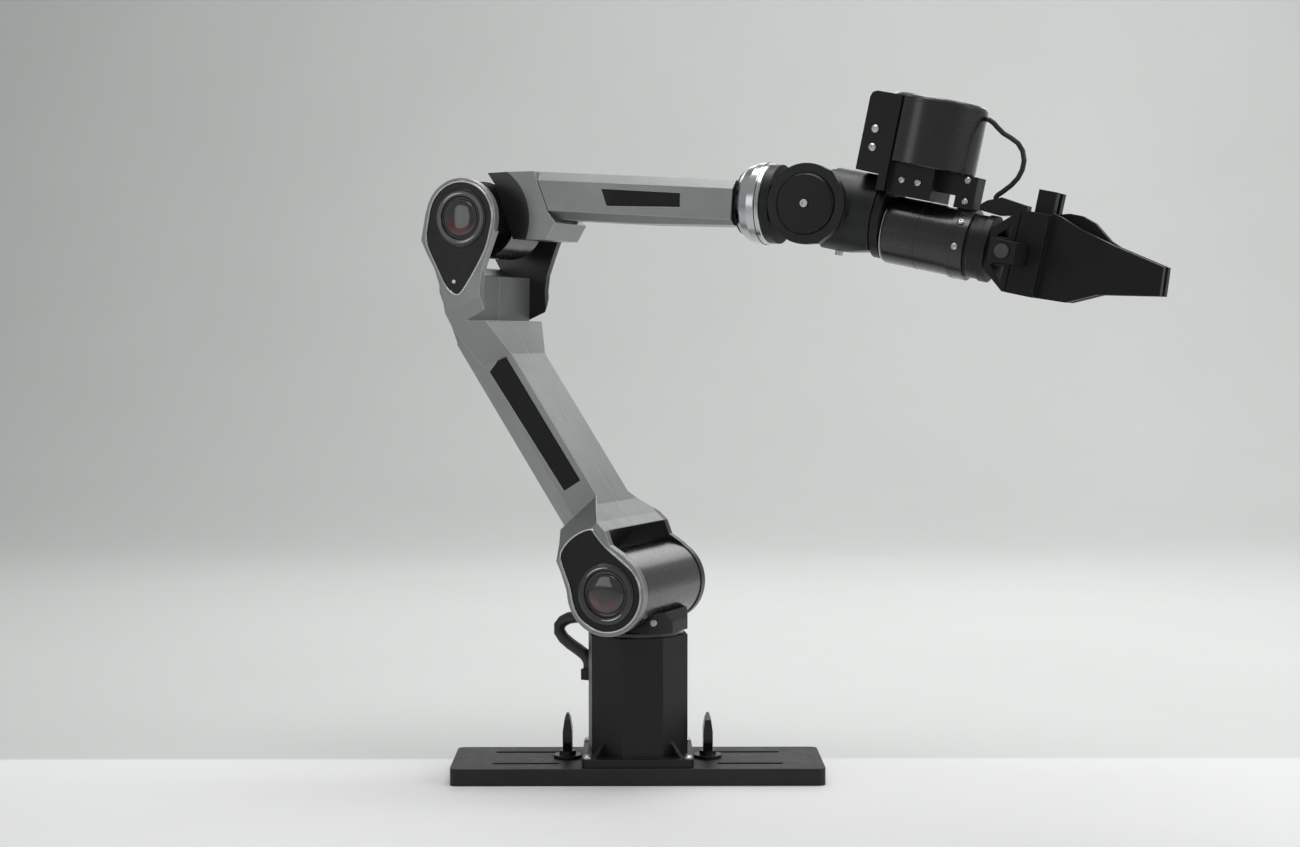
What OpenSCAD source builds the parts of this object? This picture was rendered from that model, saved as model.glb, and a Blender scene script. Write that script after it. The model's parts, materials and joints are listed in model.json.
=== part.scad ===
// Desktop robot arm, six turning joints and a parallel gripper, millimetres.
// Origin: centre of the base plate's underside, on the yaw axis.
// +X runs along the plate, +Z is up. The arm is drawn half raised, turned toward the front right.

/* [Base] */
// Length of the base plate
plate_l = 262; // [240:1:280]
// Depth of the base plate
plate_d = 80; // [80:1:90]
// Thickness of the base plate
plate_t = 12; // [12:1:12]
// Corner radius of the base plate
plate_r = 5; // [3:1:8]
// Distance of the clamp slots from the plate's long centre line
slot_y = 20.5; // [20:0.5:22]
// Width of the clamp slots
slot_w = 5.5; // [4.5:0.5:6]
// Distance across the flats of the column
column_af = 68; // [67:1:70]

/* [Arm] */
// Height of the shoulder axis above the table
shoulder_z = 135; // [135:1:135]
// Distance from the shoulder axis to the elbow axis
upper_len = 285; // [285:1:285]
// Distance from the elbow axis to the wrist axis along the forearm
fore_len = 251; // [251:1:251]
// Width of the forks at both ends of the upper arm
fork_w = 106; // [106:1:108]
// Width of the arm bodies
body_w = 52; // [50:1:52]
// Radius of the shoulder ears
shoulder_r = 29.6; // [29.6:0.2:30.6]
// Radius of the elbow ears
elbow_r = 28; // [28:0.2:29]

/* [Gripper] */
// Gap between the closed-in fingers
finger_gap = 6.4; // [6.4:0.2:8]
// Radius of the gripper body
grip_r = 22.5; // [21:0.5:23]
// Half length of the guide beam
beam_half = 50; // [50:1:52]

/* [Hidden] */
$fn = 64;
fit = 0.05;
yaw = 25;
lean = 23.5;
fore_pitch = 4;
tool_pitch = 12;
rise = 22;
elbow_x = -upper_len * sin(lean);
elbow_z = shoulder_z + upper_len * cos(lean);
wrist_x = elbow_x + fore_len * cos(fore_pitch) + rise * sin(fore_pitch);
wrist_z = elbow_z - fore_len * sin(fore_pitch) + rise * cos(fore_pitch);
ear_out = fork_w / 2;
ear_in = ear_out - 6;
half_w = body_w / 2;
motor_half = ear_in - 0.3;
pin_r = 12;
grip_z = -6;
jaw_in = finger_gap / 2;

black = [0.07, 0.07, 0.075];
dark = [0.16, 0.16, 0.165];
silver = [0.55, 0.56, 0.56];
steel = [0.75, 0.76, 0.77];

// ---- frames -------------------------------------------------------------

module in_arm() {
  rotate([0, 0, -yaw]) children();
}

module at_shoulder() {
  in_arm() translate([0, 0, shoulder_z]) children();
}

// z runs along the upper arm, x points forward
module along_upper() {
  at_shoulder() rotate([0, -lean, 0]) children();
}

// x runs along the forearm
module along_fore() {
  in_arm() translate([elbow_x, 0, elbow_z]) rotate([0, fore_pitch, 0]) children();
}

// x runs along the tool
module along_tool() {
  in_arm() translate([wrist_x, 0, wrist_z]) rotate([0, tool_pitch, 0]) children();
}

// ---- helpers ------------------------------------------------------------

// a profile drawn in x and z, from y0 to y1
module across(y0, y1) {
  translate([0, y1, 0]) rotate([90, 0, 0]) linear_extrude(height = y1 - y0) children();
}

// a round bar along y
module pin(r, y0, y1) {
  translate([0, y1, 0]) rotate([90, 0, 0]) cylinder(r = r, h = y1 - y0);
}

// a round bar along x
module bar(r, x0, x1) {
  translate([x0, 0, 0]) rotate([0, 90, 0]) cylinder(r = r, h = x1 - x0);
}

// a profile drawn in y and z, from x0 to x1
module along(x0, x1) {
  translate([x0, 0, 0]) rotate([90, 0, 90]) linear_extrude(height = x1 - x0) children();
}

module box(x0, x1, y0, y1, z0, z1) {
  translate([x0, y0, z0]) cube([x1 - x0, y1 - y0, z1 - z0]);
}

module rounded(w, d, r) {
  square([w - 2 * r, d], center = true);
  square([w, d - 2 * r], center = true);
  for (x = [-1, 1], y = [-1, 1])
    translate([x * (w / 2 - r), y * (d / 2 - r)]) circle(r = r);
}

// a slot of width w between x0 and x1
module slot(x0, x1, w) {
  translate([x0, -w / 2]) square([x1 - x0, w]);
  translate([x0, 0]) circle(d = w);
  translate([x1, 0]) circle(d = w);
}

// a button head screw standing on z = 0, with a hexagon socket
module button_screw(r, h, shank_r, shank) {
  difference() {
    union() {
      cylinder(r = r, h = h * 0.55);
      translate([0, 0, h * 0.55]) cylinder(r1 = r, r2 = r * 0.62, h = h * 0.45);
      translate([0, 0, -shank]) cylinder(r = shank_r, h = shank);
    }
    translate([0, 0, h * 0.45]) cylinder(r = r * 0.42, h = h, $fn = 6);
  }
}

// ---- base ---------------------------------------------------------------

screw_xy = 35.3;
thumb_x = 50;
thumb_y = 2;

module base_plate() {
  color(dark) difference() {
    linear_extrude(height = plate_t) rounded(plate_l, plate_d, plate_r);
    for (s = [-1, 1], t = [-1, 1])
      translate([0, t * slot_y, -1]) linear_extrude(height = plate_t + 2)
        slot(s > 0 ? 58 : -100, s > 0 ? 100 : -58, slot_w);
    for (s = [-1, 1]) translate([s * thumb_x, thumb_y, -1]) cylinder(r = 4 + fit, h = plate_t + 2);
    for (s = [-1, 1]) translate([s * thumb_x, thumb_y, -1]) cylinder(r = 8.5, h = 6);
    for (x = [-1, 1], y = [-1, 1])
      translate([x * screw_xy, y * 33, plate_t - 9]) cylinder(r = 2, h = 10);
    translate([0, 0, plate_t - 4]) cylinder(r = 16, h = 5);
  }
}

module thumb_screw(s) {
  translate([s * thumb_x, thumb_y, 0]) {
    translate([0, 0, 1.5]) cylinder(r = 4, h = plate_t - 1);
    translate([0, 0, plate_t + 0.3]) cylinder(r = 10, h = 2);
    translate([0, 0, plate_t + 2.3]) cylinder(r = 6, h = 3);
    intersection() {
      across(-3.3, 3.3) polygon([
        [-6, plate_t + 5.3], [-10, plate_t + 12], [-11, plate_t + 20], [-8, plate_t + 28],
        [-3, plate_t + 32], [3, plate_t + 32], [8, plate_t + 28], [11, plate_t + 20],
        [10, plate_t + 12], [6, plate_t + 5.3]]);
      translate([0, 0, plate_t]) rotate([90, 0, 90]) linear_extrude(height = 30, center = true)
        polygon([[-3.3, 5], [-3.3, 20], [-2.2, 28], [-0.8, 32], [0.8, 32], [2.2, 28],
          [3.3, 20], [3.3, 5]]);
    }
  }
}

module turned_thumb_screw(s) {
  translate([s * thumb_x, thumb_y, 0]) rotate([0, 0, 90]) translate([-s * thumb_x, -thumb_y, 0])
    thumb_screw(s);
}

module thumb_screw_left() {
  color(black) turned_thumb_screw(-1);
}

module thumb_screw_right() {
  color(black) turned_thumb_screw(1);
}

// captive nuts let into the underside of the plate
module screw_nuts() {
  color(steel) for (s = [-1, 1]) translate([s * thumb_x, thumb_y, 0.5]) difference() {
    cylinder(r = 7.5, h = 4.4, $fn = 6);
    translate([0, 0, -1]) cylinder(r = 4 + fit, h = 7);
  }
}

module octagon(af) {
  intersection() {
    square([af, af], center = true);
    rotate(45) square([af, af], center = true);
  }
}

column_top = 102;

// on the back wall of the column, pointing outward
module at_socket(x) {
  rotate([0, 0, 6]) translate([x, column_af / 2 - 6, 40]) rotate([-90, 0, 0]) children();
}

module column() {
  color(black) difference() {
    union() {
      translate([0, 0, plate_t]) linear_extrude(height = 6) rounded(78, 76, 4);
      rotate([0, 0, 6]) linear_extrude(height = column_top) difference() {
        octagon(column_af);
        circle(r = 10);
      }
      for (a = [45 : 90 : 315]) rotate([0, 0, a])
        across(-1.5, 1.5) polygon([[32, plate_t + 6], [44, plate_t + 6], [33, plate_t + 17]]);
    }
    translate([0, 0, -1]) cylinder(r = 60, h = plate_t + 1);
    translate([0, 0, plate_t - 1]) cylinder(r = 29, h = column_top);
    for (x = [-1, 1], y = [-1, 1])
      translate([x * screw_xy, y * 33, plate_t - 1]) cylinder(r = 2, h = 12);
    at_socket(-7) cylinder(r = 6, h = 12);
    at_socket(7.4) cylinder(r = 5, h = 12);
  }
}

module flange_screws() {
  color(steel) for (x = [-1, 1], y = [-1, 1])
    translate([x * screw_xy, y * 33, plate_t + 6]) button_screw(3.4, 2.4, 2, 13);
}

module yaw_motor() {
  color(dark) difference() {
    union() {
      translate([0, 0, 44]) cylinder(r = 28.5, h = 38);
      translate([0, 0, 82]) cylinder(r = 20, h = 3);
    }
    translate([0, 0, 40]) cylinder(r = 7, h = 50);
  }
}

module yaw_bearing() {
  color(steel) translate([0, 0, 88]) difference() {
    cylinder(r = 29, h = 10);
    translate([0, 0, -1]) cylinder(r = 22 + fit, h = 12);
  }
}

module control_board() {
  color([0.1, 0.3, 0.16]) {
    translate([0, 0, 24]) difference() {
      cylinder(r = 27, h = 1.6);
      translate([0, 0, -1]) cylinder(r = 5, h = 4);
    }
    for (a = [0 : 90 : 270]) rotate([0, 0, a + 45]) translate([20, 0, plate_t])
      cylinder(r = 3, h = 12);
    box(-14, -6, -16, 10, 25.6, 30);
    box(8, 20, -6, 8, 25.6, 28);
  }
}

module power_socket() {
  color(black) at_socket(-7) difference() {
    union() {
      cylinder(r = 6, h = 9);
      translate([0, 0, 6]) cylinder(r = 7, h = 3);
    }
    translate([0, 0, 4]) cylinder(r = 4.2, h = 10);
  }
}

module data_socket() {
  color(black) at_socket(7.4) difference() {
    union() {
      cylinder(r = 5, h = 8);
      translate([0, 0, 6]) cylinder(r = 6.6, h = 2.6);
    }
    translate([0, 0, 4]) cylinder(r = 3.4, h = 10);
  }
}

// ---- shoulder -----------------------------------------------------------

drum_r = 28.9;

module turntable() {
  color(black) {
    difference() {
      union() {
        translate([0, 0, column_top + 0.3]) cylinder(r = 32.5, h = 2.6);
        translate([0, 0, 86]) cylinder(r = 22, h = column_top - 85.7);
      }
      translate([0, 0, 84]) cylinder(r = 7, h = 30);
      in_arm() translate([0, 0, shoulder_z]) pin(drum_r, -50, 50);
    }
  }
}

cradle_z = column_top + 2.9;
loop_a = 142.6;
loop_z = 107.2;

module cradle() {
  color(dark) {
    difference() {
      in_arm() intersection() {
        across(-28, 28) polygon([[-33, cradle_z], [33, cradle_z], [33, 113], [29.5, 119.5],
          [-29.5, 119.5], [-33, 113]]);
        cylinder(r = 35.5, h = 200);
      }
      at_shoulder() pin(drum_r, -60, 60);
    }
    in_arm() translate([0, 8, loop_z]) bar(4.7, -36.5, -32.9);
  }
}

module cradle_screws() {
  color(steel) for (x = [-1, 1]) at_shoulder()
    translate([x * 25.6, -28, -21.5]) rotate([90, 0, 0]) cylinder(r = 2.3, h = 1.6);
}

// motor housing between the ears, with an output stub at each end
module shoulder_motor() {
  color(black) at_shoulder() {
    pin(drum_r, -motor_half, motor_half);
    for (s = [-1, 1]) pin(pin_r, min(s * motor_half, s * (ear_out - 2.6)),
      max(s * motor_half, s * (ear_out - 2.6)));
  }
}

// clip behind the cradle that holds the lower end of the harness beside the column
module cable_shoe() {
  color(black) in_arm() difference() {
    union() {
      box(-46.5, -28, 16.2, 19.2, column_top + 1, 109);
      box(-46.5, -39, 16.2, 19.2, 64, column_top + 1);
      box(-47.5, -38.5, 4.5, 16.2, 64, 72);
    }
    cylinder(r = 35.5, h = 200);
  }
}

loop_path = [
  [38.4, loop_z], [42, 108], [48, 108.8], [56, 108.6], [63, 107.2], [68.5, 104.6], [72, 100.8],
  [72, 96.4], [68, 92], [61.5, 88.2], [54.5, 85], [48.5, 81.8], [45, 78], [44.2, 75], [44.2, 72]
];

function unit(v) = v / norm(v);
function way(p, i) = unit(i == 0 ? p[1] - p[0]
  : i == len(p) - 1 ? p[i] - p[i - 1] : p[i + 1] - p[i - 1]);
function ring_at(c, d, r, n) = let (side = [0, 1, 0], up = cross(d, side))
  [for (k = [0 : n - 1]) c + r * (cos(360 * k / n) * side + sin(360 * k / n) * up)];
// a tube of radius r along points that lie in the x-z plane
module tube(p, r, n) {
  pts = [for (i = [0 : len(p) - 1]) for (v = ring_at(p[i], way(p, i), r, n)) v];
  last = (len(p) - 1) * n;
  polyhedron(points = pts, faces = concat(
    [[for (k = [0 : n - 1]) k]],
    [for (i = [0 : len(p) - 2]) for (k = [0 : n - 1])
      [i * n + k, (i + 1) * n + k, (i + 1) * n + (k + 1) % n, i * n + (k + 1) % n]],
    [[for (k = [n - 1 : -1 : 0]) last + k]]));
}

module harness_loop() {
  color(black) rotate([0, 0, loop_a]) tube([for (q = loop_path) [q[0], 0, q[1]]], 4.4, 12);
}

// ---- upper arm ----------------------------------------------------------

front_a = 10.6;
recess = 2.5;

// the arm's cross section, run along its tilted front from z0 to z1
module body_bar(z0, z1) {
  translate([8.5, 0, 65]) rotate([0, -front_a, 0]) translate([0, 0, z0])
    linear_extrude(height = z1 - z0) polygon([[0, -half_w], [0, half_w], [-24, half_w],
      [-41, 10], [-41, -10], [-24, -half_w]]);
}

// widening of the arm toward the shoulder, seen from the front
module lower_spread() {
  rotate([0, -18, 0]) along(-80, 60) polygon([[-ear_out, -60], [-ear_out, 41], [-half_w, 62.5],
    [half_w, 62.5], [ear_out, 41], [ear_out, -60]]);
}

module lower_side() {
  across(-ear_out, ear_out) union() {
    circle(r = shoulder_r);
    polygon([[0, 0], [28.2, 9], [22.5, 20.8], [16.5, 29.5], [17, 40], [13.5, 48], [9, 62],
      [3.5, 92], [-33, 92], [-29, 62], [-26.5, 46], [-26.2, 26], [-27, 14], [-29.4, 3]]);
  }
}

module upper_spread() {
  along(-80, 60) polygon([[-half_w, 186], [-ear_out, 228], [-ear_out, 330], [ear_out, 330],
    [ear_out, 228], [half_w, 186]]);
}

module upper_side() {
  across(-ear_out, ear_out) union() {
    translate([0, upper_len]) circle(r = elbow_r);
    polygon([[-14.2, 186], [-15.5, 212], [-10, 222], [-6, 233], [0, 243], [9, 252.5],
      [21.5, 265], [0, upper_len], [-20, 304.6], [-24.5, 299.5], [-35.5, 283.5], [-34.8, 272],
      [-33.6, 261], [-35, 243.5], [-38, 230], [-40.5, 217.5], [-41, 205], [-39, 186]]);
  }
}

// spine behind the elbow that carries on from the back of the arm
module upper_spine() {
  intersection() {
    body_bar(0, 215);
    across(-half_w, half_w) polygon([[-26, 195], [-60, 195], [-60, 212], [-57, 224], [-54, 237],
      [-51, 250], [-46, 262], [-38, 267], [-30, 262], [-26, 240]]);
  }
}

module upper_hollows() {
  pin(43.5, -ear_in, ear_in);
  across(-ear_in, ear_in) polygon([[0, 0], [60, 0], [60, -60], [-60, -60], [-60, 22], [-31, 24]]);
  translate([0, 0, upper_len]) pin(40, -ear_in, ear_in);
  // step behind the ledge, up to the elbow motor
  across(-ear_in, ear_in) polygon([[-8, 209.5], [-26.9, 217.5], [-13.5, 247.3], [0, 285],
    [60, 330], [60, 200]]);
  across(-ear_in, ear_in) polygon([[0, 285], [-60, 296], [-60, 340], [60, 340]]);
  // inside of the shells
  translate([8.5, 0, 65]) rotate([0, -front_a, 0])
    translate([0, 0, -6]) linear_extrude(height = 150) polygon([[-3, -half_w + 3],
      [-3, half_w - 3], [-23, half_w - 3], [-37.5, 8.6], [-37.5, -8.6], [-23, -half_w + 3]]);
  for (z = [0, upper_len]) translate([0, 0, z]) pin(pin_r + fit, -60, 60);
  // seats for the covers
  for (s = [-1, 1]) {
    across(min(s * (ear_out - recess), s * 70), max(s * (ear_out - recess), s * 70))
      shoulder_seat(0);
    across(min(s * (ear_out - recess), s * 70), max(s * (ear_out - recess), s * 70))
      elbow_seat(0);
    across(min(s * (half_w - 1.2), s * half_w), max(s * (half_w - 1.2), s * 26)) label_shape(0);
  }
}

module shoulder_seat(g) {
  circle(r = 26.6 - g);
  polygon([[0, 0], [-25.6 + g, 5], [-24 + g, 14], [-24 + g, 26], [-23 + g, 37.6 - g],
    [-14, 43.6 - g], [-3, 46.4 - g], [8.4 - g, 45.8 - g], [9.4 - g, 40.3], [13.4 - g, 28.8],
    [19.6 - g, 18.4], [25 - g, 8]]);
}

module elbow_seat(g) {
  translate([0, upper_len]) circle(r = 25.6 - g);
  polygon([[0, upper_len], [19 - g, 268.2], [11.5, 258 + g], [2, 250.5 + g], [-9, 243 + g],
    [-20, 236.5 + g], [-24.5, 235.5 + g], [-30.5 + g, 243], [-31.5 + g, 261], [-32.4 + g, 272],
    [-32.5 + g, 282.5 - g], [-22 + g, 297.6 - g]]);
}

module label_shape(g) {
  polygon([[-35.9 + g, 181.4 - g], [-19.8 - g, 189.7 - g], [0.6 - g, 82.6 + g],
    [-14.5 + g, 80.6 + g]]);
}

module arm_solid() {
  difference() {
    union() {
      body_bar(-6, 159);
      intersection() {
        lower_spread();
        lower_side();
      }
      intersection() {
        upper_spread();
        upper_side();
      }
      upper_spine();
    }
    upper_hollows();
  }
}

module arm_shell_near() {
  color(silver) along_upper() intersection() {
    arm_solid();
    box(-90, 60, -60, 0, -40, 330);
  }
}

module arm_shell_far() {
  color(silver) along_upper() intersection() {
    arm_solid();
    box(-90, 60, 0, 60, -40, 330);
  }
}

// bulkhead that ties the two shells together half way up
module arm_rib() {
  color(dark) along_upper() translate([8.5, 0, 65]) rotate([0, -front_a, 0])
    translate([0, 0, 66]) linear_extrude(height = 5) difference() {
      polygon([[-3, -half_w + 3], [-3, half_w - 3], [-23, half_w - 3], [-37.5, 8.6],
        [-37.5, -8.6], [-23, -half_w + 3]]);
      translate([-18, 0]) circle(r = 8);
    }
}

module arm_label_near() {
  color(black) along_upper() across(-half_w + 0.2, -half_w + 1.2) label_shape(0);
}

module arm_label_far() {
  color(black) along_upper() across(half_w - 1.2, half_w - 0.2) label_shape(0);
}

module shoulder_cover(y0, y1) {
  color(black) along_upper() across(y0, y1) difference() {
    shoulder_seat(0.3);
    circle(r = 21.5);
  }
}

module shoulder_cover_near() {
  shoulder_cover(-ear_out + 0.6, -ear_out + recess);
}

module shoulder_cover_far() {
  shoulder_cover(ear_out - recess, ear_out - 0.6);
}

module elbow_cover(y0, y1) {
  color(black) along_upper() across(y0, y1) difference() {
    elbow_seat(0.3);
    translate([0, upper_len]) circle(r = 20.5);
    translate([-23, 246]) circle(r = 1.4);
  }
}

module elbow_cover_near() {
  elbow_cover(-ear_out + 0.6, -ear_out + recess);
}

module elbow_cover_far() {
  elbow_cover(ear_out - recess, ear_out - 0.6);
}

// stepped, dished ring in the middle of a cover
module dished_ring(r) {
  rotate_extrude() polygon([[0, 0], [r, 0], [r, 2.4], [r - 1.6, 2.9], [r - 4.4, 2.9],
    [r - 5.2, 1.6], [r - 7, 1.2], [r - 7.6, 2], [0, 2]]);
}

module shoulder_rings() {
  color(dark) along_upper() for (s = [-1, 1])
    translate([0, s * (ear_out - recess), 0]) rotate([-90 * s, 0, 0]) dished_ring(21.2);
}

module elbow_rings() {
  color(dark) along_upper() for (s = [-1, 1])
    translate([0, s * (ear_out - recess), upper_len]) rotate([-90 * s, 0, 0]) dished_ring(20.2);
}

module cover_screws() {
  color(steel) along_upper() for (s = [-1, 1])
    translate([-23, s * (ear_out - recess), 246]) rotate([-90 * s, 0, 0])
      cylinder(r = 1.4, h = 2.2);
}

// ---- forearm ------------------------------------------------------------

elbow_motor_r = 27.4;
elbow_neck_r = 17.5;
motor_reach = 21.8;

module root_profile() {
  polygon([[4.4, 33.6], [20, 35], [42, 36.4], [45, 28], [54.5, 8], [61, 0.8], [54.5, -11.5],
    [28.1, -12.5], [17.8, 10.6], [10.8, 25.8]]);
}

// block with two cheeks that clasp the ends of the elbow motor
module forearm_root() {
  color(silver) along_fore() difference() {
    across(-25, 25) root_profile();
    pin(elbow_motor_r, -motor_reach, motor_reach);
    across(-20, 20) polygon([[40, 8], [50, 8], [45, 30], [36, 30]]);
    along(30, 90) tube_inside();
  }
}

module tube_outside() {
  polygon([[-24, 9], [-24, 30], [-18, 36.5], [18, 36.5], [24, 30], [24, 9], [16, 3.4],
    [-16, 3.4]]);
}

module tube_inside() {
  polygon([[-21.5, 10], [-21.5, 29], [-17, 34], [17, 34], [21.5, 29], [21.5, 10],
    [15, 5.8], [-15, 5.8]]);
}

module forearm_tube() {
  color(silver) along_fore() difference() {
    intersection() {
      along(40, 194) tube_outside();
      across(-30, 30) polygon([[42.2, 36.5], [45.2, 28], [54.7, 8], [60, 2], [76, 2],
        [194, 5.6], [194, 40], [42, 40]]);
    }
    along(30, 200) tube_inside();
    for (s = [-1, 1])
      across(min(s * 23, s * 24), max(s * 23, s * 24)) fore_label_shape();
  }
}

module fore_label_shape() {
  polygon([[95, 26], [155.5, 25.6], [156, 16], [100, 14.2]]);
}

module fore_label_near() {
  color(black) along_fore() across(-23.8, -23) fore_label_shape();
}

module fore_label_far() {
  color(black) along_fore() across(23, 23.8) fore_label_shape();
}

module elbow_motor() {
  color(black) along_fore() {
    pin(elbow_motor_r, -motor_reach, motor_reach);
    pin(elbow_neck_r, -motor_half, motor_half);
    pin(pin_r, -ear_out + 2.6, ear_out - 2.6);
  }
}

module roll_motor() {
  color(dark) along_fore() translate([0, 0, 20]) {
    bar(13.5, 120, 186);
    bar(6, 186, 190);
  }
}

module wrist_bell() {
  color(silver) along_fore() translate([0, 0, rise]) rotate([0, 90, 0]) rotate_extrude()
    polygon([[16 + fit, 194], [19.5, 194], [21, 195], [25.5, 200], [27.6, 206],
      [28, 211], [27.4, 214.5], [26.5, 215.2], [16 + fit, 215.2]]);
}

// ---- wrist --------------------------------------------------------------

module wrist_collar() {
  color(black) along_fore() translate([0, 0, rise]) difference() {
    union() {
      bar(16, 196, 215.5);
      bar(27, 215.5, 221.5);
      box(221.5, 232, -20, 20, -12, 12);
    }
    bar(6, 190, 219);
    translate([fore_len, 0, 0]) pin(24.6, -40, 40);
  }
}

module pitch_motor() {
  color(black) along_fore() translate([fore_len, 0, rise]) {
    pin(24.6, -25.6, 25.6);
    for (s = [-1, 1]) pin(8, min(s * 25.6, s * 30), max(s * 25.6, s * 30));
  }
}

// yoke round the wrist motor, running forward into a round flange housing
module wrist_housing() {
  color(dark) along_tool() difference() {
    union() {
      for (s = [-1, 1]) across(min(s * 26, s * 33), max(s * 26, s * 33)) union() {
        circle(r = 27);
        polygon([[0, -27], [14, -24.5], [18, -20], [18, 20], [14, 24.5], [0, 27]]);
      }
      intersection() {
        bar(28, 8, 44);
        across(-28, 28) polygon([[8, -27], [24, -27], [44, -22.5], [44, 28], [8, 28]]);
      }
    }
    pin(25.2, -26, 26);
    pin(8 + fit, -40, 40);
    bar(10 + fit, 34, 50);
    bar(6, 10, 40);
    for (s = [-1, 1]) across(min(s * 32, s * 33.5), max(s * 32, s * 33.5)) circle(r = 20.6);
  }
}

module wrist_caps() {
  color(black) along_tool() for (s = [-1, 1]) translate([0, s * 32, 0]) rotate([-90 * s, 0, 0])
    difference() {
      rotate_extrude() polygon([[0, 0], [20.2, 0], [20.2, 2.2], [19, 3.2], [0, 3.2]]);
      translate([0, 0, 2]) cylinder(r = 1.6, h = 4);
    }
}

module wrist_screws() {
  color(steel) along_tool() {
    for (s = [-1, 1]) translate([0, s * 34, 0]) rotate([-90 * s, 0, 0]) difference() {
      union() {
        cylinder(r = 1.6, h = 1.2);
        translate([0, 0, 1.2]) cylinder(r = 2.6, h = 1.4);
      }
      translate([0, 0, 1.8]) cylinder(r = 1.2, h = 2, $fn = 6);
    }
    translate([20, -4, -27]) rotate([180, 0, 0]) cylinder(r = 2.6, h = 3);
  }
}

module flange_motor() {
  color(dark) along_tool() bar(6, 26.5, 33.5);
}

// ---- tool ---------------------------------------------------------------

drum_x = 67.5;
drum_out = 32;
drum_base = 38;

module tool_flange() {
  color(black) along_tool() {
    bar(10, 34.2, 44.3);
    bar(26.5, 44.3, 50);
  }
}

// tall bracket behind the drum and the shelf under it
module tool_bracket() {
  color(black) along_tool() difference() {
    union() {
      across(-28, 28) polygon([[28, 28.6], [28, 77], [29.3, 80.2], [32.5, 81.5], [50, 81.5],
        [50, 28.6]]);
      box(44.3, 50, -28, 28, 18, 28.6);
      box(50, 80, -22, 22, 17, drum_base);
      box(93, 106, -9, 9, 13, drum_base);
      box(78, 106, -9, 9, 24, drum_base);
    }
    translate([drum_x, 0, drum_base]) cylinder(r = drum_out, h = 60);
    bar(26.5, 40, 50);
    translate([0, 0, grip_z]) bar(grip_r + 1.5, 40, 120);
    box(31, 45, -25, 25, 36, 78);
    for (q = tall_screws) translate([q[0], -29, q[1]]) rotate([-90, 0, 0]) cylinder(r = 1.2, h = 5);
    for (q = shelf_screws) translate([q[0], -23, q[1]]) rotate([-90, 0, 0]) cylinder(r = 1, h = 4);
    for (q = foot_screws) translate([q[0], -10, q[1]]) rotate([-90, 0, 0]) cylinder(r = 1, h = 4);
  }
}

// where the bracket's screws sit, along the tool and above its axis
tall_screws = [[36, 56.7], [36.5, 44.6]];
shelf_screws = [[58.8, 27.5], [70, 27.5]];
foot_screws = [[99, 35], [100, 21]];

module bracket_screws() {
  color(steel) along_tool() {
    for (q = tall_screws)
      translate([q[0], -28, q[1]]) rotate([90, 0, 0]) button_screw(2.6, 1.8, 1.2, 2);
    for (q = shelf_screws)
      translate([q[0], -22, q[1]]) rotate([90, 0, 0]) button_screw(2.3, 1.6, 1, 3);
    for (q = foot_screws)
      translate([q[0], -9, q[1]]) rotate([90, 0, 0]) button_screw(2.3, 1.6, 1, 3);
  }
}

module drum() {
  color(black) along_tool() translate([drum_x, 0, drum_base]) rotate_extrude()
    polygon([[0, 0], [drum_out - 0.8, 0], [drum_out, 0.8], [drum_out, 41], [0, 41]]);
}

module drum_cap() {
  color(black) along_tool() translate([drum_x, 0, drum_base + 41]) rotate_extrude()
    polygon([[0, 0], [drum_out, 0], [drum_out, 2.2], [drum_out - 0.8, 3.6], [drum_out - 2.2, 4.6],
      [0, 4.6]]);
}

cable_path = [
  [99.54, 76.4], [102.3, 76.4], [105.5, 75], [109, 72.4], [113.5, 69.4], [119, 67.4],
  [124.5, 64.8], [128.6, 60.4], [130.9, 54.6], [131, 48.5], [129.3, 42.6], [126, 37.4],
  [121.5, 32.4], [118.3, 29.3], [117.5, 27.7], [117.98, 26.42]
];

module drum_cable() {
  color(black) along_tool() tube([for (q = cable_path) [q[0], 0, q[1]]], 1.7, 10);
}

module grip_barrel() {
  color(black) along_tool() translate([0, 0, grip_z]) difference() {
    rotate([0, 90, 0]) rotate_extrude() polygon([[0, 50], [grip_r - 3, 50], [grip_r, 53],
      [grip_r, 98], [0, 98]]);
    bar(16, 56, 99);
  }
}

module grip_clamp() {
  color(black) along_tool() translate([0, 0, grip_z]) difference() {
    bar(grip_r + 1, 98, 109);
    bar(16, 97, 110);
    at_clamp_screws() translate([0, 0, -4]) cylinder(r = 1, h = 6);
  }
}

module at_clamp_screws() {
  for (a = [-36, 6, 174, 216]) rotate([a, 0, 0]) translate([103.5, -grip_r - 1, 0])
    rotate([90, 0, 0]) children();
}

module clamp_screws() {
  color(steel) along_tool() translate([0, 0, grip_z]) at_clamp_screws()
    button_screw(2.2, 1.5, 1, 2.5);
}

module grip_neck() {
  color(dark) along_tool() translate([0, 0, grip_z]) difference() {
    union() {
      bar(21, 109, 118);
      bar(22, 118, 123);
    }
    bar(16, 108, 119);
  }
}

module grip_motor() {
  color(dark) along_tool() translate([0, 0, grip_z]) {
    bar(16, 58, 118);
  }
}

module grip_yoke() {
  color(black) along_tool() difference() {
    union() {
      across(-18, 18) polygon([[123, 7], [139.5, 21.5], [141, 22], [141, -31], [139, -31],
        [123, -18]]);
      across(-6, 6) polygon([[110, 17.6], [110, 21.5], [114, 24.8], [123, 28.4], [141, 26],
        [141, 20], [123, 16.5]]);
    }
    across(-30, 30) polygon([[127.5, 3], [137, 11.8], [137, 3.5]]);
    across(-30, 30) polygon([[127.5, -15], [137, -26], [137, -13.5], [132, -13.5]]);
    box(134, 142, -30, 30, -12, 2);
  }
}

module guide_beam() {
  color(dark) along_tool() difference() {
    box(134, 151, -beam_half, beam_half, -12, 2);
    translate([142.5, 0, -5]) pin(3, -beam_half - 1, beam_half + 1);
  }
}

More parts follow.
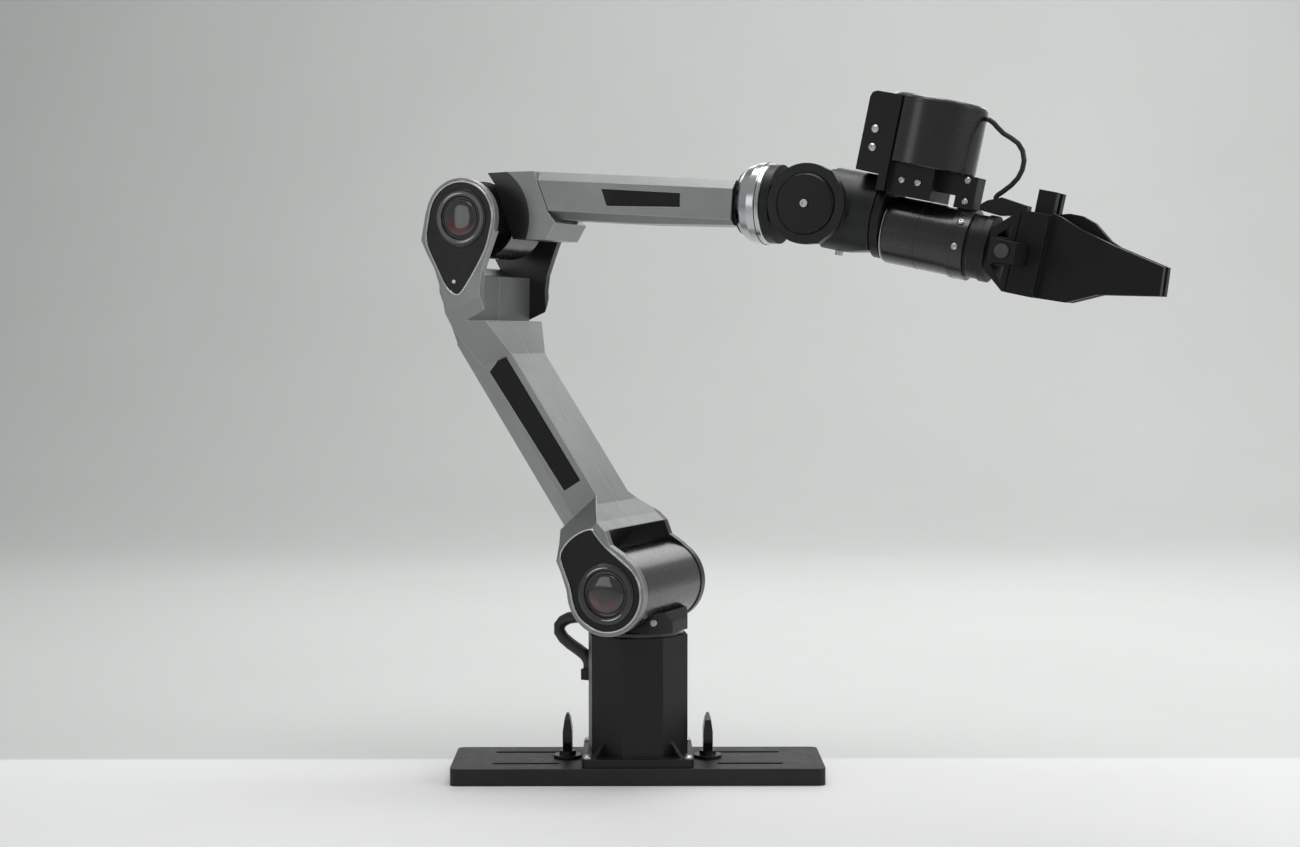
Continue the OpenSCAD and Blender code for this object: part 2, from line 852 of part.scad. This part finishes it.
// round stops in the ends of the beam
module beam_caps() {
  color(steel) along_tool() for (s = [-1, 1])
    translate([142.5, s * (beam_half - 6), -5]) rotate([-90 * s, 0, 0]) {
      cylinder(r = 3, h = 6);
      translate([0, 0, 6]) cylinder(r = 4.6, h = 2);
    }
}

module carriage(y0, y1, head_in, head_out) {
  difference() {
    union() {
      box(142, 160, y0, y1, -31, 23);
      box(148, 160, head_in, head_out, 23, 38);
    }
    box(133, 151 + fit, y0 - 1, y1 + 1, -12 - fit, 2 + fit);
  }
}

module finger_near() {
  color(black) along_tool() {
    carriage(-20, -jaw_in - 1, -jaw_in - 9, -jaw_in - 1);
    across(-jaw_in - 9, -jaw_in - 1) polygon([[160, -31], [180, -30], [199, -21], [238, -14],
      [236.5, 4.5], [203, 11.5], [179, 18], [166, 23], [160, 24.5]]);
  }
}

module finger_far() {
  color(black) along_tool() {
    carriage(jaw_in + 1, 20, jaw_in + 1, jaw_in + 9);
    across(jaw_in + 1, jaw_in + 9) polygon([[160, -31], [180, -30], [199, -21], [238, -14],
      [236.5, 4.5], [203, 11.5], [196, 14.5], [184, 23.5], [175, 26.4], [167, 26.4], [160, 24.5]]);
  }
}

module pad_shape() {
  polygon([[196, -19], [236, -12], [234.5, 3.5], [203, 10], [196, 11.8]]);
}

module pad_near() {
  color(dark) along_tool() across(-jaw_in - 1, -jaw_in) pad_shape();
}

module pad_far() {
  color(dark) along_tool() across(jaw_in, jaw_in + 1) pad_shape();
}

base_plate();
thumb_screw_left();
thumb_screw_right();
screw_nuts();
column();
flange_screws();
yaw_motor();
yaw_bearing();
control_board();
power_socket();
data_socket();
turntable();
cradle();
shoulder_motor();
cradle_screws();
cable_shoe();
harness_loop();
arm_shell_near();
arm_shell_far();
arm_rib();
arm_label_near();
arm_label_far();
shoulder_cover_near();
shoulder_cover_far();
shoulder_rings();
elbow_cover_near();
elbow_cover_far();
elbow_rings();
cover_screws();
forearm_root();
forearm_tube();
elbow_motor();
roll_motor();
fore_label_near();
fore_label_far();
wrist_bell();
wrist_collar();
pitch_motor();
wrist_housing();
wrist_caps();
wrist_screws();
flange_motor();
tool_flange();
tool_bracket();
bracket_screws();
drum();
drum_cap();
drum_cable();
grip_barrel();
grip_clamp();
clamp_screws();
grip_neck();
grip_yoke();
guide_beam();
beam_caps();
grip_motor();
finger_near();
finger_far();
pad_near();
pad_far();
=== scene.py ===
import json
import math

import bmesh
import bpy
from mathutils import Matrix, Vector


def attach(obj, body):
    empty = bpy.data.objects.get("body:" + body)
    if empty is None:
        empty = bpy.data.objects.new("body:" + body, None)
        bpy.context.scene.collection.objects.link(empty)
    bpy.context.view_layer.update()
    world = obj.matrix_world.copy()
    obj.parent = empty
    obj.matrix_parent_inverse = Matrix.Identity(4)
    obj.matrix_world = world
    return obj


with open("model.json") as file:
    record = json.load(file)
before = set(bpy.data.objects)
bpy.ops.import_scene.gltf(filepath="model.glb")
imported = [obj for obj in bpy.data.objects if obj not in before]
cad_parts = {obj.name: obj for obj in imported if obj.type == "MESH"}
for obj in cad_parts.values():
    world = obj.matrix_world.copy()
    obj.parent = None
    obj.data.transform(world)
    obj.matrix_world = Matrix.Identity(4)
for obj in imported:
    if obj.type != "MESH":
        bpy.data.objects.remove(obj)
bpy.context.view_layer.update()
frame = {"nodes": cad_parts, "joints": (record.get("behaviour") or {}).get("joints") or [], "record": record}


MM = 0.001
UPPER_LEN = 0.285
EAR_IN = 0.047
EAR_OUT = 0.053
COVER_SEAT = 0.0025
SHOULDER_HOLLOW = 0.0438
ELBOW_HOLLOW = 0.0403
DRUM_X = 0.0675
DRUM_SEAM_R, DRUM_SEAM_Z = 0.0320, 0.0790
GRIP_Z = -0.006
FORE_RISE = 0.022
STEPS = 72
YAW = math.radians(25)
LEAN = math.radians(23.5)
FORE = math.radians(4)
TOOL = math.radians(12)
FWD = Vector((math.cos(YAW), -math.sin(YAW), 0))
AWAY = Vector((math.sin(YAW), math.cos(YAW), 0))
UP = Vector((0, 0, 1))

joint = {j["name"]: j for j in frame["joints"]}
SHOULDER = Vector(joint["j2_shoulder"]["pos_m"])
ELBOW = Vector(joint["j3_elbow"]["pos_m"])
WRIST = Vector(joint["j5_wrist"]["pos_m"])


def frame_at(origin, pitch):
    """x forward along a link that is pitched down by this angle, y away from the camera, z up."""
    x = math.cos(pitch) * FWD - math.sin(pitch) * UP
    z = math.sin(pitch) * FWD + math.cos(pitch) * UP
    m = Matrix((x, AWAY, z)).transposed().to_4x4()
    m.translation = origin
    return m


ARM = frame_at(SHOULDER, -LEAN)
FOREARM = frame_at(ELBOW, FORE)
HAND = frame_at(WRIST, TOOL)


# ---- materials -------------------------------------------------------------

def tree(name):
    m = bpy.data.materials.new(name)
    m.use_nodes = True
    nt = m.node_tree
    nt.nodes.clear()
    out = nt.nodes.new("ShaderNodeOutputMaterial")
    p = nt.nodes.new("ShaderNodeBsdfPrincipled")
    nt.links.new(p.outputs[0], out.inputs["Surface"])
    return m, nt, p


def node(nt, kind, **inputs):
    n = nt.nodes.new(kind)
    for k, v in inputs.items():
        n.inputs[k.replace("_", " ")].default_value = v
    return n


def noise(nt, at, scale, detail=3.0, rough=0.55, distort=0.0):
    n = node(nt, "ShaderNodeTexNoise", Scale=scale, Detail=detail, Roughness=rough,
             Distortion=distort)
    nt.links.new(at, n.inputs["Vector"])
    return n.outputs["Fac"]


def spread(nt, fac, lo, hi, a=0.3, b=0.7):
    n = node(nt, "ShaderNodeMapRange")
    n.inputs["From Min"].default_value = a
    n.inputs["From Max"].default_value = b
    n.inputs["To Min"].default_value = lo
    n.inputs["To Max"].default_value = hi
    nt.links.new(fac, n.inputs["Value"])
    return n.outputs["Result"]


def mixed(nt, fac, a, b):
    n = nt.nodes.new("ShaderNodeMix")
    n.data_type = "RGBA"
    for socket, v in ((n.inputs[6], a), (n.inputs[7], b)):
        if isinstance(v, (tuple, list)):
            socket.default_value = (*v[:3], 1)
        else:
            nt.links.new(v, socket)
    if isinstance(fac, float):
        n.inputs[0].default_value = fac
    else:
        nt.links.new(fac, n.inputs[0])
    return n.outputs[2]


def bumped(nt, height, strength, distance, normal=None):
    n = node(nt, "ShaderNodeBump", Strength=strength, Distance=distance)
    nt.links.new(height, n.inputs["Height"])
    if normal is not None:
        nt.links.new(normal, n.inputs["Normal"])
    return n.outputs[0]


def math_node(nt, op, a, b=None):
    n = nt.nodes.new("ShaderNodeMath")
    n.operation = op
    for i, v in enumerate((a, b)):
        if v is None:
            continue
        if isinstance(v, (int, float)):
            n.inputs[i].default_value = v
        else:
            nt.links.new(v, n.inputs[i])
    return n.outputs[0]


def edges(nt, radius):
    """(rounded normal, how near a sharp edge: 0 to 1)"""
    bev = nt.nodes.new("ShaderNodeBevel")
    bev.samples = 6
    bev.inputs["Radius"].default_value = radius
    geo = nt.nodes.new("ShaderNodeNewGeometry")
    dot = nt.nodes.new("ShaderNodeVectorMath")
    dot.operation = "DOT_PRODUCT"
    nt.links.new(bev.outputs[0], dot.inputs[0])
    nt.links.new(geo.outputs["Normal"], dot.inputs[1])
    near = node(nt, "ShaderNodeMapRange")
    near.inputs["From Min"].default_value = 0.995
    near.inputs["From Max"].default_value = 0.75
    near.inputs["To Min"].default_value = 0.0
    near.inputs["To Max"].default_value = 1.0
    nt.links.new(dot.outputs["Value"], near.inputs["Value"])
    return bev.outputs[0], near.outputs["Result"]


def surface(name, dark, light, metallic=0.0, rough=(0.35, 0.5), grain=900.0, grain_bump=0.05,
            patch=14.0, edge=0.0008, edge_wear_highlight=None, coat=0.0, coat_rough=0.1, specular=0.5,
            stretch=(1, 1, 1), smudge=0.06):
    """Layered finish: slow colour drift, fine grain, uneven gloss, and edges lightened partly by wear and
    partly by a painted highlight.
    """
    m, nt, p = tree(name)
    tc = nt.nodes.new("ShaderNodeTexCoord")
    at = tc.outputs["Object"]
    mp = nt.nodes.new("ShaderNodeMapping")
    mp.inputs["Scale"].default_value = stretch
    nt.links.new(at, mp.inputs["Vector"])
    fine = noise(nt, mp.outputs[0], grain, 2.0, 0.6)
    slow = noise(nt, at, patch, 4.0, 0.6, 0.4)
    smear = noise(nt, at, 55.0, 5.0, 0.65, 1.2)
    blend = math_node(nt, "ADD", math_node(nt, "MULTIPLY", spread(nt, slow, 0, 1), 0.7),
                      math_node(nt, "MULTIPLY", spread(nt, fine, 0, 1), 0.3))
    col = mixed(nt, blend, dark, light)
    normal = None
    if edge:
        normal, near = edges(nt, edge)
        if edge_wear_highlight:
            # painted highlight and wear: near sharp edges the colour is lightened towards the edge colour
            wear_and_highlight = math_node(nt, "MULTIPLY", near, spread(nt, smear, 0.55, 1.0))
            col = mixed(nt, wear_and_highlight, col, edge_wear_highlight)
    nt.links.new(col, p.inputs["Base Color"])
    r = math_node(nt, "ADD", spread(nt, smear, rough[0], rough[1]),
                  math_node(nt, "MULTIPLY", spread(nt, fine, -1.0, 1.0), smudge * 0.5))
    nt.links.new(r, p.inputs["Roughness"])
    p.inputs["Metallic"].default_value = metallic
    p.inputs["Specular IOR Level"].default_value = specular
    if coat:
        p.inputs["Coat Weight"].default_value = coat
        p.inputs["Coat Roughness"].default_value = coat_rough
    nt.links.new(bumped(nt, fine, grain_bump, 0.0002, normal), p.inputs["Normal"])
    return m


def along_axis(nt, at, origin, axis):
    """how far a point lies from origin along axis"""
    n = nt.nodes.new("ShaderNodeVectorMath")
    n.operation = "DOT_PRODUCT"
    n.inputs[1].default_value = axis
    nt.links.new(at, n.inputs[0])
    return math_node(nt, "SUBTRACT", n.outputs["Value"], origin.dot(axis))


def within(nt, at, centre, radius, x_axis, z_axis):
    """1 inside a drum of this radius round the axis across the arm"""
    x = along_axis(nt, at, centre, x_axis)
    z = along_axis(nt, at, centre, z_axis)
    far = math_node(nt, "ADD", math_node(nt, "POWER", math_node(nt, "ABSOLUTE", x), 2.0),
                    math_node(nt, "POWER", math_node(nt, "ABSOLUTE", z), 2.0))
    return math_node(nt, "LESS_THAN", far, radius * radius)


def fork_painted_shade(m):
    """Painted shade: near-black insides of the two forks and rim of the far cheeks."""
    nt = m.node_tree
    p = next(n for n in nt.nodes if n.type == "BSDF_PRINCIPLED")
    tc = nt.nodes.new("ShaderNodeTexCoord")
    at = tc.outputs["Object"]
    geo = nt.nodes.new("ShaderNodeNewGeometry")
    side = along_axis(nt, at, SHOULDER, AWAY)
    out = nt.nodes.new("ShaderNodeVectorMath")
    out.operation = "DOT_PRODUCT"
    out.inputs[1].default_value = AWAY
    nt.links.new(geo.outputs["True Normal"], out.inputs[0])
    arm_x = ARM.to_3x3() @ Vector((1, 0, 0))
    arm_z = ARM.to_3x3() @ Vector((0, 0, 1))
    between = math_node(nt, "LESS_THAN", math_node(nt, "ABSOLUTE", side), EAR_IN + 0.0002)
    drums = math_node(nt, "MAXIMUM", within(nt, at, SHOULDER, SHOULDER_HOLLOW, arm_x, arm_z),
                      within(nt, at, ELBOW, ELBOW_HOLLOW, arm_x, arm_z))
    inner = math_node(nt, "MULTIPLY", between, drums)
    rim = math_node(nt, "MULTIPLY", math_node(nt, "GREATER_THAN", side, EAR_IN - 0.0003),
                    math_node(nt, "LESS_THAN", out.outputs["Value"], 0.3))
    # painted shade: the silver turns near black inside the forks and on the far cheek rims
    shade_mask = math_node(nt, "MAXIMUM", inner, rim)
    old = p.inputs["Base Color"].links[0].from_socket
    fine = noise(nt, at, 1500, 2.0)
    black = mixed(nt, fine, (0.006, 0.006, 0.007), (0.014, 0.014, 0.015))
    nt.links.new(mixed(nt, shade_mask, old, black), p.inputs["Base Color"])
    nt.links.new(math_node(nt, "MULTIPLY", math_node(nt, "SUBTRACT", 1.0, shade_mask), 0.6),
                 p.inputs["Metallic"])
    return m


look = {
    "plate_paint": surface("plate_powder", (0.010, 0.0103, 0.0106), (0.018, 0.0183, 0.0187), 0.0,
                           (0.45, 0.58), 1500, 0.25, 9, 0.0014, (0.05, 0.05, 0.052), specular=0.3,
                           smudge=0.03),
    "black_anodised": surface("black_satin", (0.004, 0.0043, 0.0046), (0.009, 0.0093, 0.0097), 0.0,
                              (0.36, 0.46), 2200, 0.06, 20, 0.0008, (0.035, 0.035, 0.037),
                              specular=0.3, smudge=0.03),
    "black_gloss": surface("black_gloss", (0.003, 0.0032, 0.0035), (0.006, 0.0063, 0.0068), 0.0,
                           (0.24, 0.30), 1600, 0.01, 25, 0.0002, (0.02, 0.02, 0.022), 0.6, 0.2, 0.4,
                           smudge=0.01),
    "silver_body": fork_painted_shade(surface("silver_paint", (0.20, 0.205, 0.205), (0.27, 0.277, 0.277),
                                       0.6, (0.34, 0.42), 2600, 0.07, 7, 0.0011,
                                       (0.72, 0.73, 0.73), 0.25, 0.25, smudge=0.03)),
    "bell_silver": surface("turned_aluminium", (0.46, 0.47, 0.48), (0.60, 0.61, 0.62), 1.0,
                           (0.16, 0.24), 2600, 0.06, 12, 0.0005, (0.85, 0.86, 0.87), smudge=0.03),
    "cover_black": surface("cover_gloss", (0.003, 0.003, 0.0034), (0.006, 0.006, 0.0065), 0.0,
                           (0.26, 0.34), 1800, 0.01, 40, 0.0005, (0.02, 0.02, 0.022), 0.0, 0.12,
                           0.28, smudge=0.01),
    "ring_dark": surface("ring_smoke", (0.008, 0.0075, 0.008), (0.018, 0.017, 0.018), 0.3,
                         (0.18, 0.26), 1400, 0.02, 60, 0.0005, (0.16, 0.155, 0.16), 0.7, 0.08,
                         smudge=0.02),
    "label_black": surface("label_film", (0.003, 0.0033, 0.0035), (0.006, 0.0063, 0.0066), 0.0,
                           (0.3, 0.4), 3000, 0.05, 50, 0.0003, (0.02, 0.02, 0.02), specular=0.2,
                           smudge=0.02),
    "steel": surface("zinc_steel", (0.42, 0.43, 0.45), (0.60, 0.61, 0.63), 1.0, (0.24, 0.36), 3200,
                     0.1, 90, 0.0003, (0.8, 0.81, 0.83)),
    "inner_metal": surface("motor_can", (0.05, 0.05, 0.052), (0.09, 0.09, 0.094), 0.4, (0.4, 0.5)),
    "board": surface("circuit_board", (0.02, 0.09, 0.04), (0.04, 0.14, 0.07), 0.0, (0.35, 0.5)),
    "cable": surface("cable_sheath", (0.006, 0.006, 0.0065), (0.012, 0.012, 0.0125), 0.0,
                     (0.36, 0.48), 1800, 0.08, 30, 0.0028, smudge=0.03),
    "thumb_plastic": surface("thumb_nylon", (0.004, 0.004, 0.0045), (0.008, 0.008, 0.0085), 0.0,
                             (0.28, 0.4), 1500, 0.06, 40, 0.0006, (0.02, 0.02, 0.022)),
    "grey_housing": surface("grey_satin", (0.010, 0.0105, 0.0115), (0.018, 0.0185, 0.02), 0.15,
                            (0.34, 0.44), 2200, 0.06, 20, 0.0009, (0.06, 0.06, 0.064),
                            specular=0.3, smudge=0.03),
    "finger_black": surface("finger_nylon", (0.0035, 0.0038, 0.004), (0.009, 0.0095, 0.01), 0.0,
                            (0.4, 0.52), 1100, 0.15, 25, 0.0009, (0.03, 0.03, 0.032),
                            specular=0.25, smudge=0.03),
    "pad_rubber": surface("pad_rubber", (0.010, 0.010, 0.0105), (0.018, 0.018, 0.0185), 0.0,
                          (0.6, 0.75), 900, 0.4, 30, 0.0004),
}

slots = {s["node"]: s["material_slot"] for s in frame["record"]["subparts"]}
# the beam's stops look darker than the record's steel
own_finish = {"beam_caps": "inner_metal"}
for name, ob in frame["nodes"].items():
    ob.data.materials.clear()
    ob.data.materials.append(look[own_finish.get(name, slots[name])])


# ---- fine detail -----------------------------------------------------------

body_with = {n: b for b, names in frame["record"]["behaviour"]["bodies"].items() for n in names}


def add(name, bm, material, node_name):
    """A smooth piece that moves with a CAD node."""
    bmesh.ops.recalc_face_normals(bm, faces=bm.faces)
    for f in bm.faces:
        f.smooth = True
    me = bpy.data.meshes.new(name)
    bm.to_mesh(me)
    bm.free()
    me.materials.append(material)
    ob = bpy.data.objects.new(name, me)
    bpy.context.scene.collection.objects.link(ob)
    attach(ob, body_with[node_name])
    return ob


def swept(bm, points, radii, closed, sides=10):
    """A round bead along points in space, as thick as radii says at each of them."""
    count = len(points)
    rings = []
    side = None
    for i, c in enumerate(points):
        a = points[i - 1] if closed or i else c
        b = points[(i + 1) % count] if closed or i < count - 1 else c
        d = (b - a).normalized()
        if side is None:
            side = d.orthogonal().normalized()
        side = (side - d * side.dot(d)).normalized()
        up = d.cross(side)
        rings.append([bm.verts.new(c + radii[i] * (math.cos(t) * side + math.sin(t) * up))
                      for t in [2 * math.pi * k / sides for k in range(sides)]])
    for i in range(count if closed else count - 1):
        r0, r1 = rings[i], rings[(i + 1) % count]
        twist = 0
        if closed and i == count - 1:
            twist = min(range(sides), key=lambda t: (r0[0].co - r1[t].co).length)
        for k in range(sides):
            n = (k + 1) % sides
            bm.faces.new((r0[k], r0[n], r1[(n + twist) % sides], r1[(k + twist) % sides]))
    if not closed:
        bm.faces.new(rings[0])
        bm.faces.new(rings[-1])


def softened(points, turns):
    """Corner cutting of a closed outline."""
    for _ in range(turns):
        points = [q for i, p in enumerate(points) for n in [points[(i + 1) % len(points)]]
                  for q in (p.lerp(n, 0.25), p.lerp(n, 0.75))]
    return points


def arc(cx, cz, r, start, stop, steps):
    return [Vector((cx + r * math.cos(math.radians(start + (stop - start) * i / steps)), 0,
                    cz + r * math.sin(math.radians(start + (stop - start) * i / steps))))
            for i in range(steps + 1)]


def outline(pairs):
    return [Vector((x, 0, z)) for x, z in pairs]


SHOULDER_EDGE = arc(0, 0, 26.6, 17, -190, 40) + outline([
    (-24, 14), (-24, 26), (-23, 37.6), (-14, 43.6), (-3, 46.4), (8.4, 45.8), (9.4, 40.3),
    (13.4, 28.8), (19.6, 18.4)])
ELBOW_EDGE = arc(0, 285, 25.6, -41, 149, 36) + outline([
    (-32.5, 282.5), (-32.4, 272), (-31.5, 261), (-30.5, 243), (-24.5, 235.5), (-20, 236.5),
    (-9, 243), (2, 250.5), (11.5, 258)])


def edge_bead(name, edge, side, node_name):
    """Polished bead along the seat of a cover."""
    path = [ARM @ (q * MM + Vector((0, side * (EAR_OUT - 0.0002), 0))) for q in softened(edge, 2)]
    bm = bmesh.new()
    swept(bm, path, [0.00085] * len(path), True, 8)
    add(name, bm, polished, node_name)


def turned(bm, matrix, profile, steps=STEPS):
    """Turns a profile of (radius, height) round the z axis of matrix."""
    rows = []
    for r, h in profile:
        if r == 0:
            rows.append([bm.verts.new(matrix @ Vector((0, 0, h)))])
        else:
            rows.append([bm.verts.new(matrix @ Vector((r * math.cos(t), r * math.sin(t), h)))
                         for t in [2 * math.pi * k / steps for k in range(steps)]])
    for a, b in zip(rows, rows[1:]):
        for k in range(steps):
            n = (k + 1) % steps
            if len(a) == 1:
                bm.faces.new((a[0], b[k], b[n]))
            elif len(b) == 1:
                bm.faces.new((a[k], a[n], b[0]))
            else:
                bm.faces.new((a[k], a[n], b[n], b[k]))


def ring_path(matrix, r, h, start=0, stop=360, steps=STEPS):
    return [matrix @ Vector((r * math.cos(math.radians(start + (stop - start) * k / steps)),
                             r * math.sin(math.radians(start + (stop - start) * k / steps)), h))
            for k in range(steps + (stop - start < 360))]


def lens_material(name, centre):
    """Smoked window: near black, with a dull red reflection painted low on one side."""
    m = surface(name, (0.004, 0.004, 0.0045), (0.008, 0.008, 0.0085), 0.0, (0.1, 0.16), 1500, 0.005,
                60, 0.0, None, 1.0, 0.05, smudge=0.01)
    nt = m.node_tree
    p = next(n for n in nt.nodes if n.type == "BSDF_PRINCIPLED")
    tc = nt.nodes.new("ShaderNodeTexCoord")
    at = tc.outputs["Object"]
    x = along_axis(nt, at, centre, ARM.to_3x3() @ Vector((1, 0, 0)))
    z = along_axis(nt, at, centre, ARM.to_3x3() @ Vector((0, 0, 1)))
    out = math_node(nt, "SQRT", math_node(nt, "ADD", math_node(nt, "MULTIPLY", x, x),
                                          math_node(nt, "MULTIPLY", z, z)))
    band = math_node(nt, "MULTIPLY", spread(nt, out, 0.0, 1.0, 0.006, 0.009),
                     spread(nt, out, 1.0, 0.0, 0.011, 0.0135))
    low = spread(nt, math_node(nt, "ADD", x, z), 1.0, 0.0, -0.012, 0.002)
    patchy = spread(nt, noise(nt, at, 220, 3.0), 0.2, 1.0)
    # painted reflection: dull red base colour in a ring band, stronger low on one side
    red_reflection = math_node(nt, "MULTIPLY", math_node(nt, "MULTIPLY", band, low), patchy)
    old = p.inputs["Base Color"].links[0].from_socket
    nt.links.new(mixed(nt, red_reflection, old, (0.13, 0.008, 0.010)), p.inputs["Base Color"])
    return m


polished = surface("polished_edge", (0.42, 0.43, 0.435), (0.56, 0.57, 0.575), 1.0, (0.18, 0.26),
                   2400, 0.03, 30, 0.0, smudge=0.02)
seam = surface("seam_black", (0.002, 0.002, 0.002), (0.005, 0.005, 0.005), 0.0, (0.5, 0.6), 900,
               0.05, 40, 0.0)

for hub, centre, edge, reach in (("shoulder", SHOULDER, SHOULDER_EDGE, 21.2),
                                 ("elbow", ELBOW, ELBOW_EDGE, 20.2)):
    glass = lens_material(hub + "_window", centre)
    for label, side in (("near", -1), ("far", 1)):
        shell = "arm_shell_" + label
        edge_bead(f"{hub}_bead_{label}", edge, side, shell)
        z = UPPER_LEN if hub == "elbow" else 0
        face = ARM @ Matrix.Translation((0, side * (EAR_OUT - COVER_SEAT), z)) @ Matrix.Rotation(
            math.radians(-90 * side), 4, "X")
        r = reach * MM
        bm = bmesh.new()
        turned(bm, face, [(r - 0.0078, 0.0019), (r - 0.0082, 0.0024), (r - 0.0092, 0.0028),
                          (r - 0.0130, 0.0033), (0, 0.0036)])
        add(f"{hub}_window_{label}", bm, glass, shell)
        bm = bmesh.new()
        path = ring_path(face, r - 0.0056, 0.0015)
        swept(bm, path, [0.0005] * len(path), True, 8)
        add(f"{hub}_groove_wire_{label}", bm, look["ring_dark"], shell)
        for k, (a, b) in enumerate(((60, 120), (235, 290))):
            path = ring_path(face, r - 0.0030, 0.0029, a, b, 20)
            bm = bmesh.new()
            swept(bm, path, [0.0006 * math.sin(math.pi * (i + 0.5) / len(path)) + 0.00008
                             for i in range(len(path))], False, 8)
            add(f"{hub}_glint_{label}_{k}", bm, polished, shell)

HAND_UP = HAND @ Matrix.Translation((DRUM_X, 0, 0))
bm = bmesh.new()
swept(bm, ring_path(HAND_UP, DRUM_SEAM_R, DRUM_SEAM_Z), [0.00022] * STEPS, True, 8)
add("drum_seam", bm, seam, "drum")
GRIP_AXIS = HAND @ Matrix.Translation((0, 0, GRIP_Z)) @ Matrix.Rotation(math.radians(90), 4, "Y")
for name, r, h, thick, paint in (("barrel_rear_ring", 0.0211, 0.0512, 0.0006, polished),
                                 ("barrel_seam", 0.0225, 0.0750, 0.00018, seam),
                                 ("clamp_seam", 0.0235, 0.1010, 0.00018, seam),
                                 ("neck_ring", 0.0211, 0.1115, 0.0003, look["ring_dark"])):
    bm = bmesh.new()
    swept(bm, ring_path(GRIP_AXIS, r, h), [thick] * STEPS, True, 8)
    add(name, bm, paint, "grip_barrel")
FORE_AXIS = (FOREARM @ Matrix.Translation((0, 0, FORE_RISE))
             @ Matrix.Rotation(math.radians(90), 4, "Y"))
for k, (r, h) in enumerate(((0.0215, 0.1952), (0.0279, 0.2118))):
    bm = bmesh.new()
    swept(bm, ring_path(FORE_AXIS, r, h), [0.0003] * STEPS, True, 8)
    add(f"bell_line_{k}", bm, seam, "wrist_bell")


# ---- studio ----------------------------------------------------------------

def stage_material(name, dark, light):
    m, nt, p = tree(name)
    tc = nt.nodes.new("ShaderNodeTexCoord")
    f = noise(nt, tc.outputs["Object"], 3.0, 3.0)
    grain = mixed(nt, f, dark, light)
    xyz = nt.nodes.new("ShaderNodeSeparateXYZ")
    nt.links.new(tc.outputs["Object"], xyz.inputs[0])
    # painted shade: past y = 0.052 to 0.060 m the backdrop is multiplied darker, and more so towards −x
    wall = spread(nt, xyz.outputs["Y"], 0.0, 1.0, 0.052, 0.060)
    shade = mixed(nt, spread(nt, xyz.outputs["X"], 0.0, 1.0, -1.6, 0.9), (0.62, 0.625, 0.62),
                  (0.90, 0.905, 0.90))
    backdrop_painted_shade = nt.nodes.new("ShaderNodeMix")
    backdrop_painted_shade.data_type = "RGBA"
    backdrop_painted_shade.blend_type = "MULTIPLY"
    nt.links.new(wall, backdrop_painted_shade.inputs[0])
    nt.links.new(grain, backdrop_painted_shade.inputs[6])
    nt.links.new(shade, backdrop_painted_shade.inputs[7])
    nt.links.new(backdrop_painted_shade.outputs[2], p.inputs["Base Color"])
    p.inputs["Roughness"].default_value = 0.6
    p.inputs["Specular IOR Level"].default_value = 0.1
    return m


def sweep():
    """A pale floor that curves up into a backdrop."""
    bm = bmesh.new()
    prof = [(-6.0, 0.0), (1.6, 0.0)]
    r = 1.4
    prof += [(1.6 + r * math.sin(a), r - r * math.cos(a))
             for a in [math.radians(d) for d in range(6, 91, 6)]]
    prof += [(1.6 + r, 5.0)]
    rows = [[bm.verts.new((x, y, z)) for y, z in prof] for x in (-7.0, 7.0)]
    for i in range(len(prof) - 1):
        f = bm.faces.new((rows[0][i], rows[1][i], rows[1][i + 1], rows[0][i + 1]))
        f.smooth = True
    me = bpy.data.meshes.new("floor")
    bm.to_mesh(me)
    bm.free()
    ob = bpy.data.objects.new("floor", me)
    bpy.context.scene.collection.objects.link(ob)
    me.materials.append(stage_material("floor_white", (0.74, 0.745, 0.74), (0.80, 0.805, 0.80)))


sweep()


def area(name, at, aim, size, power, colour=(1, 1, 1)):
    light = bpy.data.lights.new(name, "AREA")
    light.shape = "RECTANGLE"
    light.size, light.size_y = size
    light.energy = power
    light.color = colour
    ob = bpy.data.objects.new(name, light)
    ob.location = at
    ob.rotation_euler = (Vector(aim) - Vector(at)).to_track_quat("-Z", "Y").to_euler()
    bpy.context.scene.collection.objects.link(ob)


area("top_soft", (0.1, 0.0, 1.6), (0.05, 0, 0.25), (1.3, 0.8), 13)
area("right_side", (1.7, -0.7, 0.9), (0.0, 0, 0.25), (0.8, 0.9), 9)
area("left_fill", (-1.7, -1.3, 0.6), (0.0, 0, 0.25), (0.7, 1.0), 2.5)
area("back_rim", (0.2, 1.4, 1.0), (0.05, 0, 0.3), (1.8, 0.5), 4)
area("backdrop_wash", (0.5, 0.6, 2.2), (0.3, 2.6, 0.9), (3.0, 0.8), 34)

world = bpy.data.worlds.new("studio")
bpy.context.scene.world = world
world.use_nodes = True
wt = world.node_tree
wt.nodes.clear()
wout = wt.nodes.new("ShaderNodeOutputWorld")
bg = wt.nodes.new("ShaderNodeBackground")
bg.inputs["Color"].default_value = (0.93, 0.95, 0.94, 1)
bg.inputs["Strength"].default_value = 0.42
wt.links.new(bg.outputs[0], wout.inputs[0])

cam = bpy.data.cameras.new("camera")
cam.sensor_width = 36.0
cam.lens = 2105.3 / 1300 * 36.0
cam.clip_end = 50
cam_ob = bpy.data.objects.new("camera", cam)
cam_ob.location = (-0.0020, -1.4928, 0.3107)
cam_ob.rotation_euler = (math.radians(90) - 0.0401, 0, -0.0072)
bpy.context.scene.collection.objects.link(cam_ob)
bpy.context.scene.camera = cam_ob
bpy.context.scene.view_settings.view_transform = "Standard"
